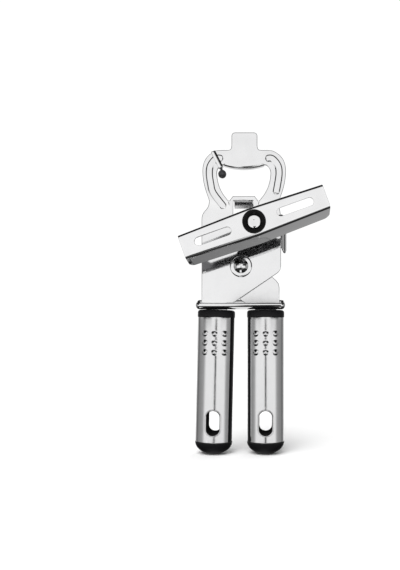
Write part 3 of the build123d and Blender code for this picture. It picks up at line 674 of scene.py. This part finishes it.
gear_lo, gear_hi = span("drive_gear")
feed_lo, feed_hi = span("feed_wheel")
GEAR_TEETH = 13
for name, node, body, cx, hole_r in (("drive_gear_skin", "drive_gear", "crank", AXIS_X, 3.2),
                                     ("cutter_gear_skin", "cutter_gear", "cutter", -AXIS_X, 3.25)):
    hole = arc(cx, AXIS_Z, hole_r, 0, 2 * pi, 40)[:-1]
    root_r = AXIS_X - 1.35
    tip_r = AXIS_X + 1.10
    pts = gear_points(cx, AXIS_Z, root_r, tip_r, GEAR_TEETH, 1.42 / root_r, 0.52 / tip_r)
    piece = plate(name, pts, [hole], gear_lo.y, gear_hi.y, 0.15, 2)
    if cx < 0:
        hub_y0 = gear_hi.y - 0.2
        hub_y1 = feed_hi.y + 0.4
        hub_pts = [(3.25, hub_y0), (4.8, hub_y0), (4.8, hub_y1), (3.25, hub_y1)]
        hub = lathe("hub", cx, AXIS_Z, round_profile(hub_pts, 0.2))
        piece = join(name, [piece, hub])
    finish_piece(piece, node, body, GEAR, smooth=40)

FEED_TEETH = 26
feed_teeth = []
for i in range(2 * FEED_TEETH):
    r = 9.5 if i % 2 == 0 else 8.7
    a = pi * i / FEED_TEETH
    feed_teeth.append((AXIS_X + r * cos(a), AXIS_Z + r * sin(a)))
feed_hole = arc(AXIS_X, AXIS_Z, 7.2, 0, 2 * pi, 48)[:-1]
wheel = plate("feed_wheel_skin", feed_teeth, [feed_hole], feed_lo.y, feed_hi.y, 0.12, 2)
web_pts = [(3.2, feed_lo.y), (7.3, feed_lo.y), (7.3, feed_hi.y - 0.6), (5.4, feed_hi.y - 0.6),
           (5.2, feed_hi.y), (3.2, feed_hi.y)]
web = lathe("web", AXIS_X, AXIS_Z, round_profile(web_pts, 0.2))
finish_piece(join("feed_wheel_skin", [wheel, web]), "feed_wheel", "crank", GEAR, smooth=40)

nut_lo, nut_hi = span("spindle_nut")
nut_r = 4.0 / cos(pi / 6)
hexagon = [(AXIS_X + nut_r * cos(pi / 3 * i), AXIS_Z + nut_r * sin(pi / 3 * i)) for i in range(6)]
nut_hole = arc(AXIS_X, AXIS_Z, 2.4, 0, 2 * pi, 32)[:-1]
nut = plate("spindle_nut_skin", hexagon, [nut_hole], nut_lo.y, nut_hi.y, 0.35, 3)
finish_piece(nut, "spindle_nut", "crank", TURNED, smooth=40)

# ---------------------------------------------------------------- cutter
cut_lo, cut_hi = span("cutter_wheel")
stud_lo, stud_hi = span("cutter_stud")
blade_y0 = cut_lo.y
blade_y1 = cut_hi.y
blade_pts = [(3.25, blade_y0), (9.97, blade_y0), (10.0, blade_y0 + 0.05), (8.4, blade_y1 - 0.03),
             (8.25, blade_y1), (5.4, blade_y1), (5.3, blade_y1 - 0.12), (4.9, blade_y1 - 0.12),
             (4.8, blade_y1), (3.25, blade_y1)]
blade = lathe("cutter_wheel_skin", -AXIS_X, AXIS_Z, blade_pts, 128)
finish_piece(blade, "cutter_wheel", "cutter", CUTTER, smooth=20)
washer_lo, washer_hi = span("cutter_washer")
turned("cutter_washer_skin", "cutter_washer", "rear_arm", TURNED, -AXIS_X, AXIS_Z,
       [(3.2, washer_lo.y), (5.6, washer_lo.y), (5.6, washer_hi.y), (3.2, washer_hi.y)], 0.2)
stud_y = stud_hi.y
stud_pts = [(0, stud_lo.y), (3.2, stud_lo.y), (3.2, stud_y - 1.4), (4.5, stud_y - 1.4), (4.7, stud_y - 1.2),
            (4.7, stud_y - 0.6), (4.45, stud_y - 0.2), (4.0, stud_y), (1.9, stud_y), (1.6, stud_y - 0.5),
            (0, stud_y - 0.5)]
stud = lathe("cutter_stud_skin", -AXIS_X, AXIS_Z, stud_pts)
finish_piece(stud, "cutter_stud", "rear_arm", TURNED, smooth=35)

# ---------------------------------------------------------------- handles
HALF_W = 12.05
HALF_D = 8.5
COLLAR_Z = -28.8
SLEEVE_Z = -33.5
END_Z = -114.6
TILT = radians(1.24)
HANDLE_X = 16.1
PROUD = 0.15
CORE_GAP = 0.2
CAP_DROP = 8.0
CAP_ROUND = 8.4
SLOT_Z = -101.6
SLOT_W = 9.2
SLOT_L = 16.4
CORE_SLOT_W = 8.4
CORE_SLOT_L = 15.6
DOT_X = 6.3
DOT_TOP_Z = -44.4
DOT_PITCH_Z = 6.0
DOT_R = 1.9
DOT_H = 0.58


def handle_place(side):
    """Matrix from handle coordinates (mm, axis at x = 0) to the row frame."""
    lean = Matrix.Identity(4)
    if side < 0:
        collar = Matrix.Translation((0, 0, COLLAR_Z * MM))
        lean = collar @ Matrix.Rotation(TILT, 4, "Y") @ collar.inverted()
    aside = Matrix.Translation((side * HANDLE_X * MM, 0, 0))
    return Matrix.Translation(PIVOT) @ aside @ lean @ Matrix.Translation(-PIVOT)


def slot_cutter(width, length):
    pts = [(z, x) for x, z in slot_points(SLOT_Z, 0, length, width, 16)]
    return loft("slot", [[(x, y, z) for x, z in pts] for y in (-14, 14)])


def make_sleeve(side):
    """Thin skin, open on its inner side, with three rows of raised dots front and back."""
    open_x = HALF_W - 2.4
    edge = atan2((1 - (open_x / HALF_W) ** 2) ** 0.5, open_x / HALF_W)
    rows = [SLEEVE_Z, SLEEVE_Z - 0.15, SLEEVE_Z - 0.5]
    rows += [SLEEVE_Z - 2 - 2.2 * i for i in range(4)]
    rows += [-42.2 - 0.36 * i for i in range(47)]
    rows += [-60.5 - 3.0 * i for i in range(18)]
    rows += [END_Z + 0.5, END_Z + 0.15, END_Z]
    cols = 168
    outer = []
    inner = []
    tucks = {rows[0]: 0.18, rows[-1]: 0.18, rows[1]: 0.05, rows[-2]: 0.05}
    for z in rows:
        tuck = tucks.get(z, 0.0)
        out_row = []
        in_row = []
        for j in range(cols + 1):
            a = edge + (2 * pi - 2 * edge) * j / cols
            x = HALF_W * cos(a)
            y = HALF_D * sin(a)
            n = Vector((cos(a) / HALF_W, sin(a) / HALF_D)).normalized()
            lift = 0.0
            for r in range(3):
                for c in (-1, 0, 1):
                    far = hypot(x - c * DOT_X, z - DOT_TOP_Z + DOT_PITCH_Z * r)
                    if far < DOT_R and abs(y) > 4:
                        lift = DOT_H * (1 - (far / DOT_R) ** 2) ** 1.15
            out_row.append((x + n.x * (lift - tuck), y + n.y * (lift - tuck), z))
            in_row.append((x - n.x * 0.6, y - n.y * 0.6, z))
        outer.append(out_row)
        inner.append(in_row)
    rings = [a + list(reversed(b)) for a, b in zip(outer, inner)]
    if side > 0:
        rings = [[(-x, y, z) for x, y, z in ring] for ring in rings]
    skin = loft("sleeve", rings)
    skin = cut(skin, slot_cutter(SLOT_W, SLOT_L))
    rims = []
    for face in (-1, 1):
        loop = [(z, x) for x, z in slot_points(SLOT_Z, 0, SLOT_L + 0.5, SLOT_W + 0.5, 16)]
        rings = []
        count = len(loop)
        for i in range(count):
            px, pz = loop[i]
            qx, qz = loop[(i + 1) % count]
            ox, oz = loop[i - 1]
            d = Vector((qx - ox, qz - oz)).normalized()
            y = face * HALF_D * (1 - (px / HALF_W) ** 2) ** 0.5
            ring = []
            for k in range(10):
                t = 2 * pi * k / 10
                ring.append((px + d.y * 0.48 * cos(t), y - face * 0.2 + face * 0.36 * sin(t),
                             pz - d.x * 0.48 * cos(t)))
            rings.append(ring)
        rims.append(loft("rim", rings, closed_path=True))
    skin = join("left_sleeve_skin" if side < 0 else "right_sleeve_skin", [skin, *rims])
    skin.data.transform(handle_place(side))
    return skin


def ellipse_ring(a, b, z):
    steps = 96
    return [(a * cos(2 * pi * i / steps), b * sin(2 * pi * i / steps), z) for i in range(steps)]


def make_core(side):
    """Plastic body: rounded collar, then the column whose bare strip shows beside the skin."""
    top_w = HALF_W + PROUD
    top_d = HALF_D + PROUD
    r = 1.6
    rings = [ellipse_ring(top_w - 2.4, top_d - 2.4, COLLAR_Z)]
    for i in range(7):
        a = pi / 2 * i / 6
        rings.append(ellipse_ring(top_w - r + r * sin(a), top_d - r + r * sin(a), COLLAR_Z - r + r * cos(a)))
    for inset, z in ((0, SLEEVE_Z + 0.25), (0.08, SLEEVE_Z + 0.08), (0.3, SLEEVE_Z)):
        rings.append(ellipse_ring(top_w - inset, top_d - inset, z))
    column = [SLEEVE_Z - 0.02] + [SLEEVE_Z - 1 - 7.9 * i for i in range(11)] + [END_Z]
    rings += [ellipse_ring(HALF_W - CORE_GAP, HALF_D - CORE_GAP, z) for z in column]
    core = cut(loft("core", rings), slot_cutter(CORE_SLOT_W, CORE_SLOT_L))
    core.name = "left_grip_core_skin" if side < 0 else "right_grip_core_skin"
    core.data.transform(handle_place(side))
    return core


def make_cap(side):
    """Domed end cap with a small flat foot."""
    a = HALF_W + PROUD
    b = HALF_D + PROUD
    rings = [ellipse_ring(a - 0.5, b - 0.5, END_Z), ellipse_ring(a - 0.12, b - 0.12, END_Z - 0.06),
             ellipse_ring(a, b, END_Z - 0.3)]
    for i in range(1, 22):
        h = CAP_DROP * sin(pi / 2 * i / 22)
        k = (1 - (h / CAP_ROUND) ** 2) ** 0.5
        rings.append(ellipse_ring(a * k, b * k, END_Z - h))
    k = (1 - (CAP_DROP / CAP_ROUND) ** 2) ** 0.5
    rings.append(ellipse_ring(a * k * 0.96, b * k * 0.96, END_Z - CAP_DROP))
    cap = loft("cap", rings)
    cap.name = "left_end_cap_skin" if side < 0 else "right_end_cap_skin"
    cap.data.transform(handle_place(side))
    floor_z = PIVOT.z - 122.6 * MM
    for v in cap.data.vertices:
        v.co.z = max(v.co.z, floor_z)
    return cap


for side, word, body in ((-1, "left", "front_arm"), (1, "right", "rear_arm")):
    finish_piece(make_sleeve(side), word + "_sleeve", body, SKIN, smooth=50)
    core = finish_piece(make_core(side), word + "_grip_core", body, PLASTIC, smooth=50)
    # Walls of the hanging slot: black with no sheen, painted shade inside the slot.
    core.data.materials.append(BORE_PAINTED_SHADE)
    home = handle_place(side).inverted()
    for poly in core.data.polygons:
        spot = (home @ poly.center - PIVOT) / MM
        in_slot = abs(spot.x) < 4.4 and abs(spot.z - SLOT_Z) < 8.0
        if in_slot and abs(poly.normal.y) < 0.3:
            poly.material_index = 1
    finish_piece(make_cap(side), word + "_end_cap", body, PLASTIC, smooth=50)

# ---------------------------------------------------------------- stop ring
ring_lo, ring_hi = span("stop_ring")


def rounded_rect(x0, x1, y0, y1, r, steps=10):
    pts = arc(x1 - r, y1 - r, r, 0, pi / 2, steps) + arc(x0 + r, y1 - r, r, pi / 2, pi, steps)
    pts += arc(x0 + r, y0 + r, r, pi, 1.5 * pi, steps) + arc(x1 - r, y0 + r, r, 1.5 * pi, 2 * pi, steps)
    return pts


RING_D = 9.0
RING_TILT = radians(20)
RING_ROUND = 2.92
RING_CORNER = 3.0
band_section = []
for i in range(17):
    z = -2.2 + 4.4 * i / 16
    band_section.append((RING_ROUND - (RING_ROUND ** 2 - z ** 2) ** 0.5, z))
band_section += [(1.2, 2.15), (1.25, 2.0), (1.25, -2.0), (1.2, -2.15)]
half_x = (ring_hi.x - ring_lo.x) / 2
tracks = [rounded_rect(d - half_x, half_x - d, d - RING_D / 2, RING_D / 2 - d, RING_CORNER - d)
          for d, _ in band_section]
band_rings = [[(tracks[k][i][0], tracks[k][i][1], z) for k, (_, z) in enumerate(band_section)]
              for i in range(len(tracks[0]))]
band = loft("stop_ring_skin", band_rings, closed_path=True)
ring_mid = (ring_lo + ring_hi) / 2
band.data.transform(Matrix.Translation(from_pivot(*ring_mid)) @ Matrix.Rotation(RING_TILT, 4, "X")
                    @ Matrix.Translation(-PIVOT))
finish_piece(band, "stop_ring", "stop_ring", CHROME, smooth=35)

# ---------------------------------------------------------------- magnet on its strap
clip_lo, clip_hi = span("magnet_clip")
mag_lo, mag_hi = span("lid_magnet")
clip_mid = (clip_lo + clip_hi) / 2
CLIP_ANGLE = radians(63.6)
clip_turn = Matrix.Rotation(CLIP_ANGLE, 4, "Y")
loop_line = rounded_rect(-6.1, 6.1, clip_lo.y, clip_hi.y, 0.7, 5)
inner_line = rounded_rect(-5.6, 5.6, clip_lo.y + 0.5, clip_hi.y - 0.5, 0.25, 5)
strap_widths = [(-1.5, 0.12), (-1.35, 0.0), (-0.1, 0.0), (0.1, 0.06), (0.45, 0.2), (0.8, 0.36), (1.15, 0.54),
                (1.5, 0.78)]
strap_rings = []
for (ox, oy), (ix, iy) in zip(loop_line, inner_line):
    front_side = oy < 0
    outer_row = [(ox, oy + drop * (0.7 if front_side else -0.3), w) for w, drop in strap_widths]
    inner_row = [(ix, iy + (drop * 0.5 if front_side else 0), w) for w, drop in strap_widths]
    strap_rings.append(outer_row + list(reversed(inner_row)))
strap = loft("magnet_clip_skin", strap_rings, closed_path=True)
strap.data.transform(Matrix.Translation(from_pivot(clip_mid.x, 0, clip_mid.z)) @ clip_turn
                     @ Matrix.Translation(-PIVOT))
finish_piece(strap, "magnet_clip", "front_arm", CHROME, smooth=35)

BALL_R = 2.7
BALL_LEAN = radians(-10)
ball_x = (mag_lo.x + mag_hi.x) / 2
ball_z = mag_lo.z + BALL_R
ball_line = [(BALL_R * sin(pi * i / 36) * 0.995, -BALL_R * cos(pi * i / 36)) for i in range(1, 33)]
ball_line += [(0.95, 2.62), (0.8, 3.0), (0.8, 3.9)]
ball_turns = [2 * pi * k / 40 for k in range(40)]
ball = loft("lid_magnet_skin", [[(r * cos(a), r * sin(a), h) for a in ball_turns] for r, h in ball_line])
ball.data.transform(Matrix.Translation(from_pivot(ball_x, -0.75, ball_z)) @ Matrix.Rotation(BALL_LEAN, 4, "Y")
                    @ Matrix.Translation(-PIVOT))
finish_piece(ball, "lid_magnet", "front_arm", MAGNET, smooth=40)


# ---------------------------------------------------------------- floor, light, camera
def make_floor():
    """White round floor of widening rings, not mirrored in the steel."""
    verts = [(0, 0, 0)]
    faces = []
    radii = [0.02 * 1.35 ** i for i in range(18)]
    steps = 48
    for r in radii:
        for i in range(steps):
            verts.append((r * cos(2 * pi * i / steps), r * sin(2 * pi * i / steps), 0))
    for i in range(steps):
        faces.append((0, 1 + i, 1 + (i + 1) % steps))
    for k in range(len(radii) - 1):
        for i in range(steps):
            a = 1 + k * steps
            b = a + steps
            faces.append((a + i, b + i, b + (i + 1) % steps, a + (i + 1) % steps))
    mesh = bpy.data.meshes.new("floor")
    mesh.from_pydata(verts, [], faces)
    obj = bpy.data.objects.new("floor", mesh)
    bpy.context.collection.objects.link(obj)
    mat = bpy.data.materials.new("floor_paper")
    mat.use_nodes = True
    tree = mat.node_tree
    bsdf = tree.nodes["Principled BSDF"]
    bsdf.inputs["Roughness"].default_value = 0.9
    bsdf.inputs["Specular IOR Level"].default_value = 0.1
    coords = tree.nodes.new("ShaderNodeTexCoord").outputs["Object"]
    paper = noise(tree, coords, 40, 4)
    tone = ramp(tree, paper, "Fac", [(0.3, (0.965, 0.965, 0.965)), (0.7, (0.985, 0.985, 0.985))])
    tree.links.new(tone.outputs["Color"], bsdf.inputs["Base Color"])
    obj.data.materials.append(mat)
    obj.visible_glossy = False
    return obj


make_floor()


def banded(tree, source, stops):
    """Grey level that follows the source through any number of stops."""
    r = tree.nodes.new("ShaderNodeValToRGB")
    ramp_stops = r.color_ramp.elements
    while len(ramp_stops) < len(stops):
        ramp_stops.new(0.5)
    for e, (pos, level) in zip(ramp_stops, stops):
        e.position = pos
        e.color = (*grey(level), 1)
    tree.links.new(source, r.inputs["Fac"])
    return r.outputs["Color"]


def maths(tree, kind, a, b):
    m = tree.nodes.new("ShaderNodeMath")
    m.operation = kind
    for socket, value in zip(m.inputs, (a, b)):
        if isinstance(value, (int, float)):
            socket.default_value = value
        else:
            tree.links.new(value, socket)
    return m.outputs[0]


def zero_to_one(tree, part):
    """Brings one part of a direction from -1..1 to 0..1."""
    out = maths(tree, "MULTIPLY_ADD", part, 0.5)
    out.node.inputs[2].default_value = 0.5
    return out


def mixed(tree, factor, a, b):
    mix = tree.nodes.new("ShaderNodeMix")
    mix.data_type = "RGBA"
    tree.links.new(factor, mix.inputs["Factor"])
    tree.links.new(a, mix.inputs["A"])
    tree.links.new(b, mix.inputs["B"])
    return mix.outputs["Result"]


STUDIO_LIGHT = 1.05
CARD_SLOPE = 0.386


def make_world():
    """White studio, seen as plain white by the camera.

    What the steel mirrors: a bright band in front with dark above and below it; the band's lower part has a
    narrow dark strip in its middle, its upper part has dark sides. A slanted grey card stands on the right
    and a light card lies below. The wall behind is bright at mid height.
    """
    world = bpy.data.worlds.new("studio")
    bpy.context.scene.world = world
    world.use_nodes = True
    tree = world.node_tree
    back = tree.nodes["Background"]
    coords = tree.nodes.new("ShaderNodeTexCoord").outputs["Generated"]
    split = tree.nodes.new("ShaderNodeSeparateXYZ")
    tree.links.new(coords, split.inputs["Vector"])
    up = zero_to_one(tree, split.outputs["Z"])
    depth = zero_to_one(tree, split.outputs["Y"])
    right = zero_to_one(tree, split.outputs["X"])
    across = maths(tree, "ABSOLUTE", split.outputs["X"], 0)

    levels = banded(tree, up, [(0.0, 0.02), (0.30, 0.03), (0.325, 0.88), (0.5, 1.0), (0.74, 0.95),
                               (0.80, 0.03), (1.0, 0.02)])
    fade = banded(tree, depth, [(0.0, 1.0), (0.5, 1.0), (0.60, 0.6), (0.78, 0.30), (1.0, 0.20)])
    sides = banded(tree, across, [(0.0, 0.0), (0.045, 0.05), (0.075, 1.0), (0.70, 1.0), (0.83, 0.42),
                                  (1.0, 0.28)])
    calm = banded(tree, across, [(0.0, 0.93), (0.28, 0.95), (0.44, 0.04), (0.88, 0.03), (0.94, 0.40),
                                 (1.0, 0.40)])
    low = banded(tree, up, [(0.528, 0.0), (0.545, 1.0)])
    value = maths(tree, "MULTIPLY", levels, fade)
    value = maths(tree, "MULTIPLY", value, mixed(tree, low, sides, calm))

    card_x = banded(tree, right, [(0.49, 0.0), (0.52, 0.20), (0.62, 0.28), (0.76, 0.38), (0.82, 0.0)])
    slope = maths(tree, "SUBTRACT", up, maths(tree, "MULTIPLY", right, CARD_SLOPE))
    slope = maths(tree, "ADD", slope, 0.5)
    strip = banded(tree, slope, [(0.440, 0.0), (0.452, 1.0), (0.500, 1.0), (0.512, 0.0)])
    value = maths(tree, "MAXIMUM", value, maths(tree, "MULTIPLY", card_x, strip))

    under_x = banded(tree, right, [(0.36, 0.0), (0.39, 1.0), (0.53, 1.0), (0.55, 0.0)])
    under_z = banded(tree, up, [(0.0, 0.85), (0.10, 0.85), (0.12, 0.0)])
    value = maths(tree, "MAXIMUM", value, maths(tree, "MULTIPLY", under_x, under_z))

    behind = banded(tree, up, [(0.0, 0.22), (0.20, 0.24), (0.28, 0.34), (0.33, 0.75), (0.78, 0.8),
                               (0.86, 0.25), (1.0, 0.2)])
    turn = banded(tree, depth, [(0.74, 0.0), (0.83, 1.0)])
    tree.links.new(mixed(tree, turn, value, behind), back.inputs["Color"])
    back.inputs["Strength"].default_value = STUDIO_LIGHT

    plain = tree.nodes.new("ShaderNodeBackground")
    plain.inputs["Color"].default_value = (1, 1, 1, 1)
    plain.inputs["Strength"].default_value = STUDIO_LIGHT
    seen = tree.nodes.new("ShaderNodeMixShader")
    path = tree.nodes.new("ShaderNodeLightPath")
    node_link(tree, path, "Is Camera Ray", seen, "Fac")
    tree.links.new(back.outputs[0], seen.inputs[1])
    tree.links.new(plain.outputs[0], seen.inputs[2])
    tree.links.new(seen.outputs[0], tree.nodes["World Output"].inputs["Surface"])


make_world()


def sun(name, direction, power, spread):
    """Wide soft light from a direction; it isn't mirrored in the steel."""
    light = bpy.data.lights.new(name, "SUN")
    light.energy = power
    light.angle = radians(spread)
    obj = bpy.data.objects.new(name, light)
    bpy.context.collection.objects.link(obj)
    obj.rotation_mode = "QUATERNION"
    obj.rotation_quaternion = Vector(direction).to_track_quat("Z", "Y")
    obj.visible_glossy = False
    return obj


sun("key_light", (-0.25, -0.5, 1.0), 3.2, 50)
sun("fill_light", (0.6, 0.4, 0.8), 0.8, 60)

camera_data = bpy.data.cameras.new("camera")
camera_data.lens = 29.0
camera_data.sensor_width = 36.0
camera_data.shift_x = -0.1162
camera_data.shift_y = 0.0956
camera = bpy.data.objects.new("camera", camera_data)
bpy.context.collection.objects.link(camera)
camera.location = from_pivot(16.5, -301.5, -48.0)
camera.rotation_euler = (radians(90), 0, 0)
bpy.context.scene.camera = camera
bpy.context.scene.view_settings.view_transform = "Standard"
